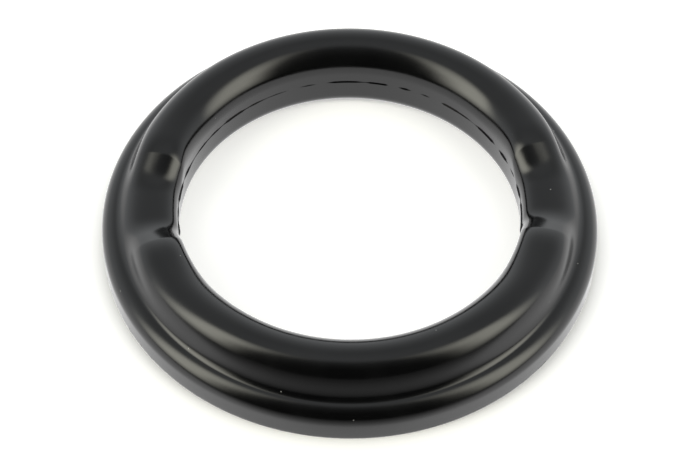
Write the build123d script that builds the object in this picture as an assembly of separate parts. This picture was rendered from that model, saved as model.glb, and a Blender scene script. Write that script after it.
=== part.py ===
"""Moulded rubber bump stop ring for a suspension strut.

One solid: a low flange round the outside and a tall rounded crown round the bore.
The crown stands at full height over two long humps. Between them, on +X and -X, it
dips into a saddle that ends sharply at the bore and runs out softly into the flange.

The ring lies on its flat underside at Z = 0, with its bore on the Z axis. Lengths are
in millimetres. Plan angles are in degrees, and angles within a section in radians.
"""
from build123d import *
import os
from dataclasses import dataclass
from math import atan2, cos, pi, sin, sqrt

# ---- Plan sizes -----------------------------------------------------------------------
bore_diameter = 83.0
crown_width = 13.1             # from the bore wall to the crown's steep outer flank
flange_width = 5.4             # from that flank to the outside of the ring

# ---- Humps ----------------------------------------------------------------------------
hump_height = 17.8             # the ring's overall height
hump_crest_setback = 6.9       # from the bore wall to the crest

# ---- Saddles --------------------------------------------------------------------------
saddle_height = 12.9
saddle_crest_setback = 6.7
saddle_crest_lead = 6.0        # how far the outer slope is led level from the crest
saddle_foot_lead = 2.5         # how far it is led back along the flange where it ends

# ---- Ramps from saddle to hump, as plan angles from the saddle's middle -----------------
bore_ramp_middle = 11.0
bore_ramp_length = 5.0
crest_ramp_middle = 13.0
crest_ramp_length = 21.0
foot_ramp_middle = 32.0
foot_ramp_length = 44.4

# ---- Bore wall, flange, valley and edges ------------------------------------------------
bore_wall_height = 11.0        # where the wall ends and the crown starts to round over
bore_foot_radius = 3.2
flange_wall_height = 4.9
flange_bead_radius = 4.3
valley_radius = 2.6

# ---- Sampling ---------------------------------------------------------------------------
points_per_curve = 5
stations_per_ramp = 32
flank_place = 0.7              # place of the flank's lower end, from 0, crest, to 1, bead
nudge = 1e-4                   # difference of place over which a slope is taken

bore_radius = bore_diameter / 2
flank_radius = bore_radius + crown_width
outside_radius = flank_radius + flange_width


@dataclass(frozen=True)
class Arc:
    """A round arc in the XZ plane, whose angles run from start to end."""

    centre: Vector
    radius: float
    start: float
    end: float

    def point(self, share):
        """Return the point this share of the way along the arc."""
        angle = self.start + share * (self.end - self.start)
        return self.centre + Vector(cos(angle), 0, sin(angle)) * self.radius

    def tangent(self, share):
        """Return the direction of travel this share of the way along the arc."""
        angle = self.start + share * (self.end - self.start)
        return Vector(-sin(angle), 0, cos(angle)) * (self.end - self.start)

    def edge(self):
        """Return the arc as a spline edge."""
        return spline(self.point, 0, 1, (self.tangent(0), self.tangent(1)))


@dataclass(frozen=True)
class Ramp:
    """Where one line along the crown climbs from the saddle to the hump."""

    middle: float
    length: float

    def toward(self, other, share):
        """Return the ramp that lies this share of the way to another one."""
        return Ramp(
            self.middle + share * (other.middle - self.middle),
            self.length + share * (other.length - self.length),
        )

    def climb(self, angle):
        """Return the share climbed at a plan angle: a smooth step with level ends."""
        share = min(max((angle - self.middle) / self.length + 1 / 2, 0), 1)
        return share**3 * (10 - 15 * share + 6 * share**2)


@dataclass(frozen=True)
class Crown:
    """The crown's outline over a hump or a saddle.

    A place on it is -1 where the bore wall ends, 0 at the crest and 1 where the outer
    slope meets the flange's bead.
    """

    crest_radius: float
    crest_height: float

    def point(self, place):
        """Return the point at a place."""
        return self.inner_point(-place) if place < 0 else self.outer_point(place)

    def inner_point(self, share):
        """Return a point of the quarter ellipse from the crest down to the bore wall."""
        return self.quarter(bore_radius, bore_wall_height, share)

    def quarter(self, radius, height, share):
        """Return a point of the quarter ellipse from the crest to an upright end."""
        out = radius - self.crest_radius
        up = self.crest_height - height
        turn = share * pi / 2
        return Vector(self.crest_radius + out * sin(turn), 0, height + up * cos(turn))


class Hump(Crown):
    """The full crown, whose shoulder drops steeply into a hollow valley."""

    def outer_point(self, share):
        """Return a point of the shoulder's quarter ellipse or of the valley's arc."""
        if share < flank_place:
            return self.quarter(flank_radius, valley.centre.Z, share / flank_place)
        return valley.point((share - flank_place) / (1 - flank_place))


class Saddle(Crown):
    """The dipped crown, whose outer slope has no flank of its own."""

    def outer_point(self, share):
        """Return a point of the cubic Bezier curve from the crest into the bead."""
        start = Vector(self.crest_radius, 0, self.crest_height)
        end = bead.point(0)
        poles = (
            start,
            start + Vector(saddle_crest_lead, 0, 0),
            end - bead.tangent(0).normalized() * saddle_foot_lead,
            end,
        )
        while len(poles) > 1:
            poles = [near + (far - near) * share for near, far in zip(poles, poles[1:])]
        return poles[0]


def spline(point, start, end, tangents):
    """Return the spline edge through evenly shared points of a curve."""
    shares = [step / (points_per_curve - 1) for step in range(points_per_curve)]
    points = [point(start + share * (end - start)) for share in shares]
    return Edge.make_spline(points, tangents=tangents, parameters=shares)


def climbed(angle, place):
    """Return the share that a place on the crown has climbed at a plan angle."""
    side = bore_ramp if place < 0 else foot_ramp
    return crest_ramp.toward(side, place**2).climb(angle)


def crown_section(angle):
    """Return the crown's section at a plan angle from the middle of the +X saddle."""

    def crown_point(place):
        low = saddle.point(place)
        return low + (hump.point(place) - low) * climbed(angle, place)

    upright, level = Vector(0, 0, 1), Vector(1, 0, 0)
    fall = crown_point(flank_place + nudge) - crown_point(flank_place - nudge)
    edges = [
        Line(parting, crown_point(-1)),
        spline(crown_point, -1, 0, (upright, level)),
        spline(crown_point, 0, flank_place, (level, fall)),
        spline(crown_point, flank_place, 1, (fall, bead.tangent(0))),
        Line(bead.point(0), parting),
    ]
    return Face(Wire(edges)).rotate(Axis.Z, angle)


def flange():
    """Return the solid under the crown, which is the same all the way round."""
    heel = Vector(outside_radius, 0, 0)
    edges = [
        Line(heel, foot.point(0)),
        foot.edge(),
        Line(foot.point(1), parting),
        Line(parting, bead.point(0)),
        bead.edge(),
        Line(bead.point(1), heel),
    ]
    return revolve(Face(Wire(edges)), axis=Axis.Z)


def ramp():
    """Return the solid of the crown that climbs from the +X saddle to the +Y hump."""
    step = (ramp_end - ramp_start) / (stations_per_ramp - 1)
    return loft([crown_section(ramp_start + station * step) for station in range(stations_per_ramp)])


def sector(start, end):
    """Return the solid of a stretch of crown whose section stays that of its start."""
    return revolve(crown_section(start), axis=Axis.Z, revolution_arc=end - start)


def mirrored(solids, plane):
    """Return these solids and their mirror images in a plane."""
    return solids + [solid.mirror(plane) for solid in solids]


def ring():
    """Return the whole ring as one solid."""
    saddles = mirrored([sector(-ramp_start, ramp_start)], Plane.YZ)
    humps = mirrored([sector(ramp_end, 180 - ramp_end)], Plane.XZ)
    ramps = mirrored(mirrored([ramp()], Plane.XZ), Plane.YZ)
    return flange().fuse(*saddles, *humps, *ramps).clean()


bead_centre = Vector(outside_radius - flange_bead_radius, 0, flange_wall_height)
valley_offset = flank_radius + valley_radius - bead_centre.X
valley_rise = sqrt((flange_bead_radius + valley_radius) ** 2 - valley_offset**2)
valley_centre = bead_centre + Vector(valley_offset, 0, valley_rise)
meeting_angle = atan2(valley_rise, valley_offset)
foot_centre = Vector(bore_radius + bore_foot_radius, 0, bore_foot_radius)

foot = Arc(foot_centre, bore_foot_radius, 3 * pi / 2, pi)
valley = Arc(valley_centre, valley_radius, pi, pi + meeting_angle)
bead = Arc(bead_centre, flange_bead_radius, meeting_angle, 0)
parting = Vector(bore_radius, 0, bead.point(0).Z)

hump = Hump(bore_radius + hump_crest_setback, hump_height)
saddle = Saddle(bore_radius + saddle_crest_setback, saddle_height)

bore_ramp = Ramp(bore_ramp_middle, bore_ramp_length)
crest_ramp = Ramp(crest_ramp_middle, crest_ramp_length)
foot_ramp = Ramp(foot_ramp_middle, foot_ramp_length)
ramp_start = crest_ramp_middle - crest_ramp_length / 2
ramp_end = foot_ramp_middle + foot_ramp_length / 2

os.makedirs("parts", exist_ok=True)
export_step(ring(), "parts/bump_ring.step")
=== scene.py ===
"""Studio scene of a moulded rubber bump stop ring.

The ring is one piece of satin black rubber: a low flange round the outside and a tall
rounded crown round the bore, which dips into a short saddle on +X and on -X. Thin
moulding flash stands along the bore's parting line and along the bottom edge.

Everything is in metres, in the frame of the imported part: the flat underside lies at
Z = 0 and the bore's axis is Z.
"""
import logging
import math
from dataclasses import astuple, dataclass
from enum import Enum

import bpy
import numpy as np
from mathutils import Matrix, Vector


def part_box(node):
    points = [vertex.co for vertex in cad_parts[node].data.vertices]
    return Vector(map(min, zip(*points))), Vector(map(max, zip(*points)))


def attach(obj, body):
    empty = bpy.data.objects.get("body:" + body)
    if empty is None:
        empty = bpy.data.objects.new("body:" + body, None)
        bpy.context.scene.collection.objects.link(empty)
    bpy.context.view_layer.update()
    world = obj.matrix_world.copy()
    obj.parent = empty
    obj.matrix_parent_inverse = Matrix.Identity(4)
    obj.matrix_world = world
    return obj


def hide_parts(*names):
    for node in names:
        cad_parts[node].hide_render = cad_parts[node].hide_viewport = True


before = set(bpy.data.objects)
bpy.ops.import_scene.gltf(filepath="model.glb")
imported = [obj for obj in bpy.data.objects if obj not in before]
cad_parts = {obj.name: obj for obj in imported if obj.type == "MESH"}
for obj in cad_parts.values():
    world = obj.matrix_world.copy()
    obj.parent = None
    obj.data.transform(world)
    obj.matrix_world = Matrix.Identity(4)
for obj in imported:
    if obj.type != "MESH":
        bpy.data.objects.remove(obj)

log = logging.getLogger("bump_stop_scene")

MM = 0.001
RING_NODE = "bump_ring"
BODY = "root"

Colour = tuple[float, float, float]  # red, green and blue
Span = tuple[float, float]  # a first and a last value
Levels = tuple[tuple[float, float], ...]  # pairs of a position and a grey level
Values = float | np.ndarray
Socket = bpy.types.NodeSocket


# ---------------------------------------------------------------------------------------
# Meshes
# ---------------------------------------------------------------------------------------
class Wrap(Enum):
    """How the two directions of a grid surface close on themselves."""

    BOTH = "both"
    NEITHER = "neither"


def grid_quads(rows: int, columns: int, wrap: Wrap) -> np.ndarray:
    """Number the quads of a grid of points.

    A quad joins point (i, j) to (i + 1, j), (i + 1, j + 1) and (i, j + 1), with the
    numbers taken round again at the ends where the grid closes.

    Args:
        rows: Count of points along the first direction.
        columns: Count of points along the second direction.
        wrap: Which directions close on themselves.

    Returns:
        An array of four point numbers per quad.
    """
    closed = wrap is Wrap.BOTH
    i = np.arange(rows if closed else rows - 1)[:, None]
    j = np.arange(columns if closed else columns - 1)[None, :]
    i_next, j_next = (i + 1) % rows, (j + 1) % columns
    numbers = [i * columns + j, i_next * columns + j, i_next * columns + j_next, i * columns + j_next]
    return np.stack([np.broadcast_to(n, (i.size, j.size)) for n in numbers], axis=-1).reshape(-1, 4)


def mesh_object(
    name: str, points: np.ndarray, quads: np.ndarray, smooth: bool = True
) -> bpy.types.Object:
    """Make a mesh object at the origin from whole arrays.

    Args:
        name: Name of the object and its mesh.
        points: Corner points in metres, one row each.
        quads: Four point numbers per face, turned so that the face looks outwards.
        smooth: True for smooth shading, False for flat faces.

    Returns:
        The object, linked into the scene.
    """
    mesh = bpy.data.meshes.new(name)
    mesh.vertices.add(len(points))
    mesh.vertices.foreach_set("co", np.ascontiguousarray(points, dtype=np.float32).ravel())
    mesh.loops.add(quads.size)
    mesh.loops.foreach_set("vertex_index", np.ascontiguousarray(quads, dtype=np.int32).ravel())
    mesh.polygons.add(len(quads))
    mesh.polygons.foreach_set("loop_start", np.arange(0, quads.size, 4, dtype=np.int32))
    mesh.polygons.foreach_set("use_smooth", np.full(len(quads), smooth))
    mesh.update(calc_edges=True)
    mesh.validate()
    piece = bpy.data.objects.new(name, mesh)
    bpy.context.scene.collection.objects.link(piece)
    return piece


def swept(angle: np.ndarray, radii: np.ndarray, heights: np.ndarray) -> np.ndarray:
    """Carry sections round the Z axis.

    The point of plan angle a and section point (r, z) is (r cos a, r sin a, z).

    Args:
        angle: Plan angles in radians.
        radii: Radii, with a row per plan angle and a column per section point.
        heights: Heights, laid out the same way.

    Returns:
        Points, one row each, in the order of a grid's rows and columns.
    """
    x, y = radii * np.cos(angle)[:, None], radii * np.sin(angle)[:, None]
    return np.stack([x, y, heights], axis=-1).reshape(-1, 3)


def mix(start: Values, end: Values, share: Values) -> Values:
    """Return the value that lies the given share of the way from start to end."""
    return start + (end - start) * share


def fade(share: np.ndarray) -> np.ndarray:
    """Return 6s^5 - 15s^4 + 10s^3, a step from 0 to 1 that starts and ends flat."""
    s = np.clip(share, 0.0, 1.0)
    return s**3 * (10 - 15 * s + 6 * s**2)


@dataclass(frozen=True)
class WaveNoise:
    """Smooth closed noise round the ring: a sum of cosines of whole numbers of waves."""

    seed: int
    lowest: int
    highest: int
    waves: int

    def at(self, angle: np.ndarray) -> np.ndarray:
        """Evaluate the noise.

        Each wave is cos(n * angle + phase), with n between the lowest and the highest
        count of waves. The sum is divided by the root of half the number of waves, so
        that its spread is about 1.

        Args:
            angle: Plan angles in radians.

        Returns:
            Noise values of the same shape, about normal with a spread of 1.
        """
        rng = np.random.default_rng(self.seed)
        counts = rng.integers(self.lowest, self.highest + 1, self.waves)
        phases = rng.uniform(0.0, 2 * np.pi, self.waves)
        waves = np.cos(angle[..., None] * counts + phases)
        return waves.sum(axis=-1) / math.sqrt(self.waves / 2)


# ---------------------------------------------------------------------------------------
# Nodes and material
# ---------------------------------------------------------------------------------------
class NodeBench:
    """A small helper that adds and links the nodes of one node tree."""

    def __init__(self, owner: bpy.types.Material | bpy.types.World) -> None:
        """Switch on the owner's node tree and empty it."""
        owner.use_nodes = True
        self.tree = owner.node_tree
        self.tree.nodes.clear()

    def add(
        self, kind: str, inputs: dict[str | int, Socket | Colour | float] | None = None, **values: str
    ) -> bpy.types.Node:
        """Add a node, set its properties and feed its inputs.

        Args:
            kind: Blender's name of the node type.
            inputs: By name or number of the input, the socket that is linked to it, or
                the colour or number that is set on it.
            **values: Properties of the node by name.

        Returns:
            The new node.
        """
        node = self.tree.nodes.new(kind)
        for name, value in values.items():
            setattr(node, name, value)
        for key, term in (inputs or {}).items():
            if isinstance(term, Socket):
                self.tree.links.new(term, node.inputs[key])
            else:
                node.inputs[key].default_value = (*term, 1.0) if isinstance(term, tuple) else term
        return node

    def math(self, operation: str, *terms: Socket | float) -> Socket:
        """Add one Math node.

        Args:
            operation: Blender's name of the operation.
            *terms: Sockets to link or numbers to set, in order.

        Returns:
            The node's output socket.
        """
        return self.add("ShaderNodeMath", dict(enumerate(terms)), operation=operation).outputs[0]

    def ramp(self, value: Socket, levels: Levels) -> Socket:
        """Add a ramp of grey levels with straight runs between them.

        New stops go in the middle at first. All positions are set before the greys,
        because a stop that moves can change places with its neighbour.

        Args:
            value: Socket that is looked up.
            levels: Pairs of position and grey level, in rising order.

        Returns:
            The ramp's colour socket.
        """
        node = self.add("ShaderNodeValToRGB", {"Fac": value})
        elements = node.color_ramp.elements
        while len(elements) < len(levels):
            elements.new(0.5)
        for element, (position, _) in zip(elements, levels):
            element.position = position
        for element, (_, level) in zip(elements, levels):
            element.color = (level, level, level, 1.0)
        return node.outputs["Color"]

    def step(self, value: Socket, span: Span, low: float, high: float) -> Socket:
        """Add a smooth step that goes from one level to another.

        Args:
            value: Socket that is looked up.
            span: Values at which the step starts and ends.
            low: Level before the step.
            high: Level after it.

        Returns:
            The output socket.
        """
        inputs = {"Value": value, "From Min": span[0], "From Max": span[1], "To Min": low, "To Max": high}
        return self.add("ShaderNodeMapRange", inputs, interpolation_type="SMOOTHSTEP").outputs["Result"]

    def blend(self, share: Socket, first: Socket | Colour, second: Colour) -> Socket:
        """Add one Mix node that goes from one colour to another.

        Blender numbers the node's colour inputs 6 and 7 and its colour output 2, after
        those for numbers and vectors.

        Args:
            share: Socket with the share of the second colour.
            first: Socket or colour at share 0.
            second: Colour at share 1.

        Returns:
            The node's colour socket.
        """
        return self.add("ShaderNodeMix", {0: share, 6: first, 7: second}, data_type="RGBA").outputs[2]

    def noise(self, place: Socket, per_metre: float, detail: float) -> Socket:
        """Add one Noise node.

        Args:
            place: Socket with the place that is looked up.
            per_metre: Count of the largest waves in a metre.
            detail: Count of finer layers on top of them.

        Returns:
            The socket with the noise's value.
        """
        inputs = {"Vector": place, "Scale": per_metre, "Detail": detail}
        return self.add("ShaderNodeTexNoise", inputs).outputs["Fac"]


@dataclass(frozen=True)
class MouldedRubber:
    """Satin black moulded rubber with soft mottling, a fine grain and stray dust.

    Spans are the noise values or the distances between which a smooth step rises.
    """

    name: str = "moulded_rubber"
    base_colour: Colour = (0.0012, 0.0012, 0.0013)
    bloom_colour: Colour = (0.0022, 0.0023, 0.0024)
    dust_colour: Colour = (0.16, 0.16, 0.155)
    refraction: float = 1.5
    roughness: Span = (0.15, 0.20)
    mottling_per_metre: float = 90.0
    mottling_detail: float = 3.0
    bloom_span: Span = (0.42, 0.72)
    roughness_span: Span = (0.3, 0.7)
    grain_per_metre: float = 1500.0
    grain_detail: float = 2.0
    grain_height: float = 0.01 * MM
    grain_strength: float = 0.3
    dust_per_metre: float = 620.0
    dust_above: float = 0.985
    dust_span: Span = (0.06, 0.14)

    def build(self) -> bpy.types.Material:
        """Make the material's nodes, all of which read Object coordinates.

        Slow noise mixes the base colour with a faint grey bloom and moves the roughness
        a little. Fast noise is a bump that breaks up the gloss. The few cells of a
        Voronoi pattern whose own random number is high carry a speck of dust.

        Returns:
            The material.
        """
        material = bpy.data.materials.new(self.name)
        bench = NodeBench(material)
        place = bench.add("ShaderNodeTexCoord").outputs["Object"]

        mottling = bench.noise(place, self.mottling_per_metre, self.mottling_detail)
        bloom = bench.step(mottling, self.bloom_span, 0.0, 1.0)
        colour = bench.blend(bloom, self.base_colour, self.bloom_colour)
        rough = bench.step(mottling, self.roughness_span, *self.roughness)

        specks = bench.add("ShaderNodeTexVoronoi", {"Vector": place, "Scale": self.dust_per_metre})
        chance = bench.add("ShaderNodeSeparateColor", {"Color": specks.outputs["Color"]})
        rare = bench.math("GREATER_THAN", chance.outputs["Red"], self.dust_above)
        small = bench.step(specks.outputs["Distance"], self.dust_span, 1.0, 0.0)
        dusted = bench.blend(bench.math("MULTIPLY", rare, small), colour, self.dust_colour)

        grain = bench.noise(place, self.grain_per_metre, self.grain_detail)
        grain_inputs = {"Strength": self.grain_strength, "Distance": self.grain_height, "Height": grain}
        bump = bench.add("ShaderNodeBump", grain_inputs).outputs["Normal"]

        rubber_inputs = {"Base Color": dusted, "Roughness": rough, "IOR": self.refraction, "Normal": bump}
        rubber = bench.add("ShaderNodeBsdfPrincipled", rubber_inputs).outputs["BSDF"]
        bench.add("ShaderNodeOutputMaterial", {"Surface": rubber})
        return material


# ---------------------------------------------------------------------------------------
# The ring
# ---------------------------------------------------------------------------------------
@dataclass(frozen=True)
class Arc:
    """A round arc in the half-plane of radius and height. Its angles are in radians."""

    centre: np.ndarray
    radius: float
    start: float
    end: float

    def points(self, share: np.ndarray) -> np.ndarray:
        """Work out points of the arc.

        The point at share s is centre + radius (cos t, sin t), t = start + s (end - start).

        Args:
            share: Shares of the way along the arc.

        Returns:
            Radii and heights, as two rows.
        """
        angle = self.start + share * (self.end - self.start)
        return self.centre[:, None] + self.radius * np.stack([np.cos(angle), np.sin(angle)])

    def ahead(self) -> np.ndarray:
        """Direction of travel at the arc's start."""
        turn = math.copysign(1.0, self.end - self.start)
        return turn * np.array([-math.sin(self.start), math.cos(self.start)])


@dataclass(frozen=True)
class Climb:
    """A way of climbing from the saddle to the hump, set by a few values."""

    def toward(self, other: "Climb", share: np.ndarray) -> "Climb":
        """Work out the climbs that lie part of the way from this one to another.

        Args:
            other: The climb at share 1, which is of the same kind.
            share: Shares of the way.

        Returns:
            A climb of that kind, whose values are arrays.
        """
        pairs = zip(astuple(self), astuple(other))
        return type(self)(*(mix(mine, theirs, share) for mine, theirs in pairs))


@dataclass(frozen=True)
class Ramp(Climb):
    """A smooth climb about its middle, as plan angles."""

    middle: Values
    length: Values

    def climbed(self, away: np.ndarray) -> np.ndarray:
        """Return the share climbed at each plan angle from the saddle's middle."""
        return fade((away - self.middle) / self.length + 0.5)


@dataclass(frozen=True)
class Knee(Climb):
    """A climb with a soft foot, a straight run and a sharp edge, as plan angles.

    The share at the edge is the part of the whole climb that is done there.
    """

    foot: Values
    straight: Values
    edge: Values
    top: Values
    edge_share: Values

    def climbed(self, away: np.ndarray) -> np.ndarray:
        """Work out the share climbed at each angle.

        The slope grows smoothly over the foot and stays even on the straight run. From
        the edge to the top the share left shrinks with the cube of the way left.

        Args:
            away: Plan angles from the saddle's middle.

        Returns:
            Shares from 0 to 1.
        """
        bend, run = self.straight - self.foot, self.edge - self.straight
        slope = self.edge_share / (bend / 2 + run)
        s = np.clip((away - self.foot) / bend, 0.0, 1.0)
        rise = slope * (bend * (s**3 - s**4 / 2) + np.clip(away - self.straight, 0.0, run))
        left = np.clip((self.top - away) / (self.top - self.edge), 0.0, 1.0)
        return np.where(away < self.edge, rise, 1 - (1 - self.edge_share) * left**3)


def quarter(crest: np.ndarray, end: np.ndarray, share: np.ndarray, power: np.ndarray) -> np.ndarray:
    """Work out points of a quarter superellipse from a level crest to an upright end.

    With t the share of a quarter turn and p the power, the point lies sin t to the
    (2 / p) of the way from the crest's radius to the end's, and cos t to the (2 / p) of
    the way up from the end's height. A power of 2 gives an ellipse.

    Args:
        crest: Radius and height of the crest.
        end: Radius and height of the end.
        share: Shares of the way from the crest to the end, one per column.
        power: Powers, one per row.

    Returns:
        Radii and heights, each with a row per power and a column per share.
    """
    turn = np.clip(share, 0.0, 1.0) * np.pi / 2
    along = np.sin(turn) ** (2 / power[:, None])
    up = np.maximum(np.cos(turn), 0.0) ** (2 / power[:, None])
    return np.stack([mix(crest[0], end[0], along), mix(end[1], crest[1], up)])


def cubic(poles: list[np.ndarray], share: np.ndarray) -> np.ndarray:
    """Work out points of a cubic Bezier curve, by sharing out the runs between its poles.

    Args:
        poles: Radius and height of each pole, as a pair, or as an array that holds a
            pair of columns with one row per curve.
        share: Shares of the way along the curve.

    Returns:
        Radii and heights, as two rows, or as two grids with a row per curve.
    """
    runs = [pole if pole.ndim > 1 else pole[:, None] for pole in poles]
    while len(runs) > 1:
        runs = [mix(near, far, share) for near, far in zip(runs, runs[1:])]
    return runs[0]


def straight(start: np.ndarray, end: np.ndarray, share: np.ndarray) -> np.ndarray:
    """Work out points of a straight run from one point to another, at shares of the way."""
    return mix(start[:, None], end[:, None], share)


def even(count: int) -> np.ndarray:
    """List even shares from 0 up to, but not with, 1."""
    return np.arange(count) / count


@dataclass(frozen=True)
class Counts:
    """How many points each stretch of the ring's section gets, in their order."""

    foot: int = 12
    wall: int = 12
    crown: int = 84
    bead: int = 18
    side: int = 6
    heel: int = 5
    base: int = 6


@dataclass
class Ring:
    """The moulded ring. Lengths are in metres and angles in radians.

    A place on the crown is -1 where the bore wall ends, 0 at the crest and 1 where the
    outer slope meets the flange's bead. A lead is how far a curve's next pole lies from
    its end. Where the saddle's lip has two values, the first is for the saddle's middle
    and the second for its ends.
    """

    outside_radius: float
    height: float
    crown_width: float = 13.1 * MM

    # The hump's outline.
    bore_wall_height: float = 11.0 * MM
    hump_crest_setback: float = 6.9 * MM
    flank_crest_lead: float = 6.9 * MM
    flank_foot_lead: float = 2.8 * MM
    hump_end_power: float = 2.9
    full_until: float = math.radians(16.0)
    ellipse_from: float = math.radians(40.0)

    # The saddle's outline.
    saddle_wall_height: float = 8.4 * MM
    saddle_height: float = 12.9 * MM
    saddle_crest_setback: float = 6.7 * MM
    saddle_crest_lead: float = 6.0 * MM
    saddle_foot_lead: float = 2.5 * MM
    lip_lead: Span = (5.7 * MM, 5.4 * MM)
    lip_flare: Span = (0.15 * MM, 0.4 * MM)
    lip_rise: Span = (2.5 * MM, 2.3 * MM)
    saddle_end: float = math.radians(11.0)

    # The climb from the one to the other.
    bore_knee: Knee = Knee(*np.radians([10.0, 11.0, 14.6, 15.8]), 0.93)
    crest_knee: Knee = Knee(*np.radians([3.8, 12.2, 16.1, 25.0]), 0.78)
    late_ramp: Ramp = Ramp(*np.radians([40.0, 40.0]))
    late_part: float = 0.18
    crest_ramp: Ramp = Ramp(*np.radians([13.0, 21.0]))
    foot_ramp: Ramp = Ramp(*np.radians([32.0, 44.4]))
    knee_reach: float = 0.8

    # The flange, the bore's foot and the heel.
    flange_width: float = 5.4 * MM
    flange_wall_height: float = 4.9 * MM
    flange_bead_radius: float = 4.3 * MM
    valley_radius: float = 2.6 * MM
    bore_foot_radius: float = 3.2 * MM
    heel_radius: float = 0.35 * MM

    # The grid, which is closer in a stretch on both sides of each saddle's middle.
    saddle_stretch: float = math.radians(30.0)
    points_per_saddle: int = 190
    points_per_hump: int = 130
    counts: Counts = Counts()
    finish: MouldedRubber = MouldedRubber()

    def __post_init__(self) -> None:
        """Settle the arcs of foot, bead and heel.

        The bead starts where a round valley between it and the crown's width line would
        run into it.
        """
        self.bore_radius = self.outside_radius - self.flange_width - self.crown_width
        flank = self.outside_radius - self.flange_width
        bead = np.array([self.outside_radius - self.flange_bead_radius, self.flange_wall_height])
        offset = flank + self.valley_radius - bead[0]
        rise = math.sqrt((self.flange_bead_radius + self.valley_radius) ** 2 - offset**2)
        foot, heel = self.bore_foot_radius, self.heel_radius
        foot_centre = np.array([self.bore_radius + foot, foot])
        heel_centre = np.array([self.outside_radius - heel, heel])
        self.foot = Arc(foot_centre, foot, 1.5 * np.pi, np.pi)
        self.bead = Arc(bead, self.flange_bead_radius, math.atan2(rise, offset), 0.0)
        self.heel = Arc(heel_centre, heel, 0.0, -np.pi / 2)

    def plan_angles(self) -> np.ndarray:
        """List the plan angles of the grid, closer together near the saddles.

        Returns:
            Rising angles in radians, once round from the start of the +X saddle.
        """
        near = self.saddle_stretch
        stretches = [
            np.linspace(-near, near, self.points_per_saddle, endpoint=False),
            np.linspace(near, np.pi - near, self.points_per_hump, endpoint=False),
        ]
        half = np.concatenate(stretches)
        return np.concatenate([half, half + np.pi])

    def outer_slope(
        self, crest: np.ndarray, crest_lead: float, foot_lead: float, place: np.ndarray
    ) -> np.ndarray:
        """Work out a slope from a crest to the flange's bead.

        It is one cubic Bezier curve that leaves the crest level and runs into the bead.

        Args:
            crest: Radius and height of the crest.
            crest_lead: The lead at the crest.
            foot_lead: The lead at the bead.
            place: Places along the crown, one per column.

        Returns:
            Radii and heights, each with one row and a column per place.
        """
        end = self.bead.points(np.zeros(1))[:, 0]
        level = np.array([crest_lead, 0.0])
        poles = [crest, crest + level, end - self.bead.ahead() * foot_lead, end]
        return cubic(poles, place)[:, None, :]

    def hump_outline(self, away: np.ndarray, place: np.ndarray) -> np.ndarray:
        """Work out the crown's outline over a hump.

        Inside the crest it is a quarter superellipse from the crest to the bore wall,
        full at the hump's ends and an ellipse along the rest. Outside it is the slope.

        Args:
            away: Plan angles from the saddle's middle, one per row.
            place: Places along the crown, one per column.

        Returns:
            Radii and heights, each with a row per angle and a column per place.
        """
        crest = np.array([self.bore_radius + self.hump_crest_setback, self.height])
        wall = np.array([self.bore_radius, self.bore_wall_height])
        along = fade((away - self.full_until) / (self.ellipse_from - self.full_until))
        inner = quarter(crest, wall, -place, mix(self.hump_end_power, 2.0, along))
        outer = self.outer_slope(crest, self.flank_crest_lead, self.flank_foot_lead, place)
        return np.where(place < 0, inner, outer)

    def saddle_outline(self, away: np.ndarray, place: np.ndarray) -> np.ndarray:
        """Work out the crown's outline over a saddle.

        Inside the crest it is one cubic Bezier curve that leaves the crest level and
        comes down steeply to the parting line on the bore wall. It is a little rounder
        toward the saddle's ends than in its middle. Outside it is the slope.

        Args:
            away: Plan angles from the saddle's middle, one per row.
            place: Places along the crown, one per column.

        Returns:
            Radii and heights, each with a row per angle and a column per place.
        """
        crest = np.array([self.bore_radius + self.saddle_crest_setback, self.saddle_height])
        outer = self.outer_slope(crest, self.saddle_crest_lead, self.saddle_foot_lead, place)
        toward_end = fade(away / self.saddle_end)
        lips = (self.lip_lead, self.lip_flare, self.lip_rise)
        lip_lead, flare, rise = (mix(middle, end, toward_end) for middle, end in lips)
        steady = np.ones_like(away)
        inner_poles = [
            np.stack([crest[0] * steady, crest[1] * steady]),
            np.stack([crest[0] - lip_lead, crest[1] * steady]),
            np.stack([self.bore_radius + flare, self.saddle_wall_height + rise]),
            np.stack([self.bore_radius * steady, self.saddle_wall_height * steady]),
        ]
        inner = cubic([pole[:, :, None] for pole in inner_poles], -place)
        return np.where(place < 0, inner, outer)

    def climb(self, away: np.ndarray, place: np.ndarray) -> np.ndarray:
        """Work out how far each point of the crown has climbed from saddle to hump.

        Inward from the crest the climb has a knee, which goes over to the bore's knee
        with the cube of the place. Outward the knee gives way to a smooth ramp, and that
        goes over to the ramp of the slope's foot with the square of the place. A small
        part of the knee's climb is left to a long slow ramp beyond it.

        Args:
            away: Plan angles from the saddle's middle, one per row.
            place: Places along the crown, one per column.

        Returns:
            Shares from 0 to 1, with a row per angle and a column per place.
        """
        angle = away[:, None]
        inward, outward = np.clip(-place, 0.0, 1.0) ** 3, np.clip(place, 0.0, 1.0) ** 2
        knee = self.crest_knee.toward(self.bore_knee, inward).climbed(angle)
        knee = mix(knee, self.late_ramp.climbed(angle), self.late_part)
        ramp = self.crest_ramp.toward(self.foot_ramp, outward).climbed(angle)
        return mix(knee, ramp, fade(place / self.knee_reach))

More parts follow.
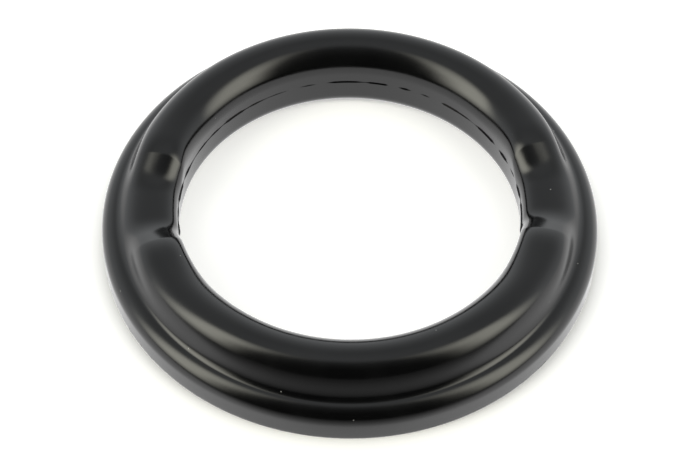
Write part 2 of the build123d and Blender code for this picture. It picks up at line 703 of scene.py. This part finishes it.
    def section(self, angle: np.ndarray) -> tuple[np.ndarray, np.ndarray]:
        """Work out the closed section at every plan angle.

        From the bore's foot it goes up the wall, over the crown, over the flange's round
        bead, down the outer wall, round the heel and back along the underside. Only the
        crown changes round the ring: each of its points lies between the same place of
        the saddle's outline and of the hump's.

        Args:
            angle: Plan angles in radians.

        Returns:
            Radii and heights, with a row per plan angle and a column per point.
        """
        counts = self.counts
        place = np.linspace(-1.0, 1.0, counts.crown, endpoint=False)
        away = np.abs((angle + np.pi / 2) % np.pi - np.pi / 2)
        low, high = self.saddle_outline(away, place), self.hump_outline(away, place)
        crown = mix(low, high, self.climb(away, place))

        outside, heel, foot = self.outside_radius, self.heel_radius, self.bore_foot_radius
        side = [np.array([outside, self.flange_wall_height]), np.array([outside, heel])]
        base = [np.array([outside - heel, 0.0]), np.array([self.bore_radius + foot, 0.0])]
        after = [
            self.bead.points(even(counts.bead)),
            straight(*side, even(counts.side)),
            self.heel.points(even(counts.heel)),
            straight(*base, even(counts.base)),
        ]
        rows = np.ones((1, angle.size, 1))
        first = rows * self.foot.points(even(counts.foot))[:, None, :]
        foot_top = np.array([self.bore_radius, foot])[:, None, None]
        wall = mix(foot_top, crown[:, :, :1], even(counts.wall))
        last = rows * np.concatenate(after, axis=1)[:, None, :]
        section = np.concatenate([first, wall, crown, last], axis=2)
        return section[0], section[1]

    def build(self, rubber: bpy.types.Material) -> bpy.types.Object:
        """Carry the section round the bore's axis and dress it.

        Args:
            rubber: The ring's material.

        Returns:
            The ring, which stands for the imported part's own solid.
        """
        angle = self.plan_angles()
        radii, heights = self.section(angle)
        # The section runs up the bore and down outside, so each quad's turn is reversed.
        first, second, third, fourth = grid_quads(*radii.shape, Wrap.BOTH).T
        quads = np.stack([first, fourth, third, second], axis=1)
        ring = mesh_object("moulded_ring", swept(angle, radii, heights), quads)
        ring.data.materials.append(rubber)
        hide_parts(RING_NODE)
        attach(ring, BODY)
        return ring


class Side(Enum):
    """Which way a fin stands out from its wall."""

    INWARD = -1
    OUTWARD = 1


@dataclass(frozen=True)
class Flash:
    """A ragged thin fin of moulding flash that runs round the ring. Lengths are in metres.

    Its section is a wedge with its root inside the wall. The reach is how far the edge
    stands out in the middle of its range, the raggedness is the spread about that, and
    the taper is how many times thicker the root is than the edge.
    """

    name: str
    radius: float
    side: Side
    height: float
    reach: float
    raggedness: float
    most: float
    noise: WaveNoise
    box_radius: float = math.inf
    thickness: float = 0.16 * MM
    taper: float = 3.0
    root: float = 0.08 * MM
    points_round: int = 2400

    @classmethod
    def in_bore(cls, ring: Ring) -> "Flash":
        """Describe the fin along the parting line of a ring's bore.

        Args:
            ring: The ring that carries it.

        Returns:
            The fin.
        """
        return cls(
            "bore_flash", ring.bore_radius, Side.INWARD, height=8.2 * MM, reach=0.18 * MM,
            raggedness=0.15 * MM, most=0.30 * MM,
            noise=WaveNoise(seed=11, lowest=2, highest=48, waves=40),
        )

    @classmethod
    def at_edge(cls, ring: Ring) -> "Flash":
        """Describe the nicks of flash along a ring's bottom edge.

        They root a little inside the outer wall and stay inside the ring's own box.

        Args:
            ring: The ring that carries them.

        Returns:
            The fin.
        """
        return cls(
            "edge_flash", ring.outside_radius - 0.1 * MM, Side.OUTWARD, height=0.5 * MM, reach=0.0,
            raggedness=0.10 * MM, most=0.12 * MM,
            noise=WaveNoise(seed=5, lowest=6, highest=90, waves=50),
            box_radius=ring.outside_radius - 0.01 * MM,
        )

    def build(self, rubber: bpy.types.Material) -> bpy.types.Object:
        """Carry the fin's section round the axis.

        The edge stands out by the reach plus the raggedness times the noise, but never by
        more than the most, and never past a square box of half width box_radius. Where
        that is less than nothing, the edge stays hidden in the wall.

        Args:
            rubber: The ring's own material.

        Returns:
            The fin.
        """
        angle = np.arange(self.points_round) * (2 * np.pi / self.points_round)
        out = self.reach + self.raggedness * self.noise.at(angle)
        out = np.clip(out, -self.root / 2, self.most)
        across = np.maximum(np.abs(np.cos(angle)), np.abs(np.sin(angle)))
        edge = np.minimum(self.radius + self.side.value * out, self.box_radius / across)
        root = np.full_like(edge, self.radius - self.side.value * self.root)
        thick = np.full_like(edge, self.thickness / 2)
        thin = thick / self.taper
        radii = np.stack([root, edge, edge, root], axis=1)
        heights = self.height + np.stack([-thick, -thin, thin, thick], axis=1)
        if self.side is Side.INWARD:
            radii, heights = radii[:, ::-1], heights[:, ::-1]
        quads = grid_quads(*radii.shape, Wrap.BOTH)
        fin = mesh_object(self.name, swept(angle, radii, heights), quads, smooth=False)
        fin.data.materials.append(rubber)
        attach(fin, BODY)
        return fin


# ---------------------------------------------------------------------------------------
# Studio
# ---------------------------------------------------------------------------------------
@dataclass(frozen=True)
class Softbox:
    """A broad soft light in the world, placed by its plan angle from the camera's side.

    The half width is taken at the middle of its soft edge.
    """

    azimuth: float
    half_width: float
    strength: float
    edge: float = math.radians(22.0)


@dataclass(frozen=True)
class Studio:
    """Floor, world light and camera. Angles are in radians and lengths in metres.

    Lens and sensor alone are in millimetres. The levels of the sky go by the height of a
    direction, and those of the dark stretch by how far it turns to the camera. Those of
    the floor go by a distance, as a share of the floor's reach: toward the camera for the
    painted falloff of the mirrored floor and the painted shadow in front of the ring, and
    from the bore's axis for the painted contact shadow. A softbox grows bright
    over the angles of its foot and dim again over those of its top.
    """

    camera_azimuth: float = math.radians(-92.8)
    camera_elevation: float = math.radians(52.138)
    camera_distance: float = 0.540
    camera_roll: float = math.radians(0.594)
    lens: float = 113.56
    sensor_width: float = 36.0
    clip: Span = (0.01, 20.0)
    aim_right: float = 0.06 * MM
    aim_up: float = -0.553 * MM
    floor_half_width: float = 3.0
    floor_drop: float = 0.02 * MM
    floor_colour: Colour = (0.86, 0.86, 0.86)
    floor_glow_seen: float = 0.5
    floor_glow_mirrored: float = 1.35
    floor_reach: float = 0.2
    # Painted light: the level of the floor that the gloss sees, falling off toward the camera.
    floor_painted_falloff: Levels = (
        (0.0, 1.0), (0.30, 1.0), (0.34, 0.70), (0.355, 0.59),
        (0.385, 0.44), (0.48, 0.28), (0.75, 0.16), (1.0, 0.15),
    )
    # Painted shadow: the camera's glow on the floor is held back in front of the ring.
    front_painted_shadow: Levels = ((0.0, 0.84), (0.15, 0.8), (0.28, 0.56), (1.0, 0.52))
    # Painted contact shadow: the camera's glow dips in a thin band round the ring's foot.
    contact_painted_shadow: Levels = (
        (0.0, 1.0), (0.295, 1.0), (0.299, 0.3), (0.302, 0.42), (0.308, 0.78), (0.32, 1.0), (1.0, 1.0),
    )
    sky_strength: float = 2.0
    sky_tint: Colour = (0.97, 1.0, 1.02)
    sky_levels: Levels = (
        (0.0, 0.575), (0.34, 0.535), (0.5, 0.485), (0.64, 0.40),
        (0.77, 0.335), (0.87, 0.305), (0.94, 0.34), (1.0, 0.375),
    )
    dark_levels: Levels = (
        (0.0, 1.0), (0.49, 1.0), (0.55, 0.7), (0.60, 0.42),
        (0.65, 0.28), (0.75, 0.15), (0.875, 0.04), (1.0, 0.03),
    )
    backdrop: Colour = (1.0, 1.0, 1.0)
    softbox_tint: Colour = (1.0, 0.985, 0.86)
    softbox_foot: Span = (math.radians(-12.0), math.radians(24.0))
    softbox_top: Span = (math.radians(42.0), math.radians(85.0))
    softboxes: tuple[Softbox, ...] = (
        Softbox(azimuth=math.radians(-69.0), half_width=math.radians(16.0), strength=5.2),
        Softbox(azimuth=math.radians(68.0), half_width=math.radians(16.0), strength=4.3),
    )

    def build_camera(self) -> bpy.types.Object:
        """Place the camera by its direction from the middle of the underside.

        It looks at a point just off that middle and is rolled about its own axis.

        Returns:
            The camera.
        """
        level, lift = math.cos(self.camera_elevation), math.sin(self.camera_elevation)
        east, north = math.cos(self.camera_azimuth), math.sin(self.camera_azimuth)
        away = Vector((level * east, level * north, lift))
        place = away * self.camera_distance
        right = Vector((-north, east, 0.0))
        up = away.cross(right)
        look = (right * self.aim_right + up * self.aim_up - place).normalized()
        side = look.cross(up).normalized()
        top = side.cross(look)
        roll_cos, roll_sin = math.cos(self.camera_roll), math.sin(self.camera_roll)
        rolled_side = side * roll_cos + top * roll_sin
        rolled_top = top * roll_cos - side * roll_sin
        data = bpy.data.cameras.new("studio_camera")
        data.lens = self.lens
        data.sensor_width = self.sensor_width
        data.clip_start, data.clip_end = self.clip
        camera = bpy.data.objects.new("studio_camera", data)
        axes = Matrix((rolled_side, rolled_top, -look)).transposed()
        camera.matrix_world = Matrix.Translation(place) @ axes.to_4x4()
        bpy.context.scene.collection.objects.link(camera)
        bpy.context.scene.camera = camera
        return camera

    def toward_camera(self, bench: NodeBench, x: Socket, y: Socket) -> Socket:
        """Measure how far a plan position or direction goes toward the camera.

        Args:
            bench: The helper of the node tree.
            x: Socket with its X value.
            y: Socket with its Y value.

        Returns:
            The socket with x cos a + y sin a, where a is the camera's azimuth.
        """
        east = bench.math("MULTIPLY", x, math.cos(self.camera_azimuth))
        return bench.math("MULTIPLY_ADD", y, math.sin(self.camera_azimuth), east)

    def build_world(self) -> bpy.types.World:
        """Make the world's light, as levels by direction.

        The sky falls off from the horizon to the zenith. It is held back on the side that
        the camera stands on, and a softbox brightens each side of that dark stretch. What
        the camera sees directly is white.

        Returns:
            The world.
        """
        world = bpy.data.worlds.new("studio_world")
        bench = NodeBench(world)
        direction = bench.add("ShaderNodeTexCoord").outputs["Generated"]
        x, y, z = bench.add("ShaderNodeSeparateXYZ", {0: direction}).outputs

        toward = self.toward_camera(bench, x, y)
        west = bench.math("MULTIPLY", x, -math.sin(self.camera_azimuth))
        across = bench.math("MULTIPLY_ADD", y, math.cos(self.camera_azimuth), west)
        turn = bench.math("ARCTAN2", across, toward)
        lift = bench.math("ARCSINE", z)

        sky = bench.ramp(z, self.sky_levels)
        dark = bench.ramp(bench.math("MULTIPLY_ADD", toward, 0.5, 0.5), self.dark_levels)
        sky_level = bench.math("MULTIPLY", bench.math("MULTIPLY", sky, dark), self.sky_strength)

        above = bench.step(lift, self.softbox_foot, 0.0, 1.0)
        below = bench.step(lift, self.softbox_top, 1.0, 0.0)
        upright = bench.math("MULTIPLY", above, below)
        box_level: Socket | float = 0.0
        for box in self.softboxes:
            off = bench.math("ABSOLUTE", bench.math("SUBTRACT", turn, box.azimuth))
            inner = box.half_width - box.edge / 2
            glow = bench.step(off, (inner, inner + box.edge), box.strength, 0.0)
            box_level = bench.math("MULTIPLY_ADD", glow, upright, box_level)

        sky_light = bench.add("ShaderNodeBackground", {"Color": self.sky_tint, "Strength": sky_level})
        box_light = bench.add("ShaderNodeBackground", {"Color": self.softbox_tint, "Strength": box_level})
        light = bench.add("ShaderNodeAddShader", {0: sky_light.outputs[0], 1: box_light.outputs[0]})
        backdrop = bench.add("ShaderNodeBackground", {"Color": self.backdrop, "Strength": 1.0})
        seen = bench.add("ShaderNodeLightPath").outputs["Is Camera Ray"]
        pick = bench.add("ShaderNodeMixShader", {0: seen, 1: light.outputs[0], 2: backdrop.outputs[0]})
        bench.add("ShaderNodeOutputWorld", {"Surface": pick.outputs[0]})
        bpy.context.scene.world = world
        return world

    def build_floor(self) -> bpy.types.Object:
        """Lay a plain pale floor just under the ring.

        Its matt white keeps the ring's soft shadow. What the camera sees of it is lifted
        by a glow, so that it reads as white. That glow is held back close in front of the
        ring and round its foot, which paints extra shadow there. What the ring's gloss sees
        is a glow of its own, painted light that fades toward the camera.

        Returns:
            The floor, which isn't part of the object.
        """
        share = np.linspace(-self.floor_half_width, self.floor_half_width, 2)
        x, y = np.meshgrid(share, share, indexing="ij")
        points = np.stack([x, y, np.full_like(x, -self.floor_drop)], axis=-1).reshape(-1, 3)
        floor = mesh_object("floor", points, grid_quads(2, 2, Wrap.NEITHER))
        material = bpy.data.materials.new("pale_floor")
        bench = NodeBench(material)
        path = bench.add("ShaderNodeLightPath")
        place = bench.add("ShaderNodeTexCoord").outputs["Object"]
        east, north, _ = bench.add("ShaderNodeSeparateXYZ", {0: place}).outputs
        toward = bench.math("DIVIDE", self.toward_camera(bench, east, north), self.floor_reach)
        distance = bench.add("ShaderNodeVectorMath", {0: place}, operation="LENGTH").outputs["Value"]
        distance = bench.math("DIVIDE", distance, self.floor_reach)

        # Painted shadow: these ramps hold the camera's glow back in front of the ring and round its foot.
        front, contact = bench.ramp(toward, self.front_painted_shadow), bench.ramp(distance, self.contact_painted_shadow)
        glow = bench.math("MULTIPLY", path.outputs["Is Camera Ray"], self.floor_glow_seen)
        glow = bench.math("MULTIPLY", glow, bench.math("MULTIPLY", front, contact))
        seen = bench.add("ShaderNodeEmission", {"Strength": glow})
        matt = bench.add("ShaderNodeBsdfDiffuse", {"Color": self.floor_colour})
        lifted = bench.add("ShaderNodeAddShader", {0: matt.outputs[0], 1: seen.outputs[0]})

        # Painted light: the glow that the gloss sees falls off toward the camera.
        level = bench.math("MULTIPLY", bench.ramp(toward, self.floor_painted_falloff), self.floor_glow_mirrored)
        mirrored = bench.add("ShaderNodeEmission", {"Strength": level})
        glossy = path.outputs["Is Glossy Ray"]
        pick = bench.add("ShaderNodeMixShader", {0: glossy, 1: lifted.outputs[0], 2: mirrored.outputs[0]})
        bench.add("ShaderNodeOutputMaterial", {"Surface": pick.outputs[0]})
        floor.data.materials.append(material)
        return floor


def main() -> None:
    """Build the studio and every piece of the ring, and report each one."""
    logging.basicConfig(level=logging.INFO, format="%(message)s")
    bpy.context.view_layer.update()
    lowest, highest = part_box(RING_NODE)
    studio = Studio()
    studio.build_camera()
    studio.build_world()
    studio.build_floor()
    bpy.context.scene.view_settings.view_transform = "Standard"
    ring = Ring(outside_radius=(highest[0] - lowest[0]) / 2, height=highest[2])
    rubber = ring.finish.build()
    made = (ring.build(rubber), Flash.in_bore(ring).build(rubber), Flash.at_edge(ring).build(rubber))
    for piece in made:
        log.info("%s: %d faces", piece.name, len(piece.data.polygons))


if __name__ == "__main__":
    main()
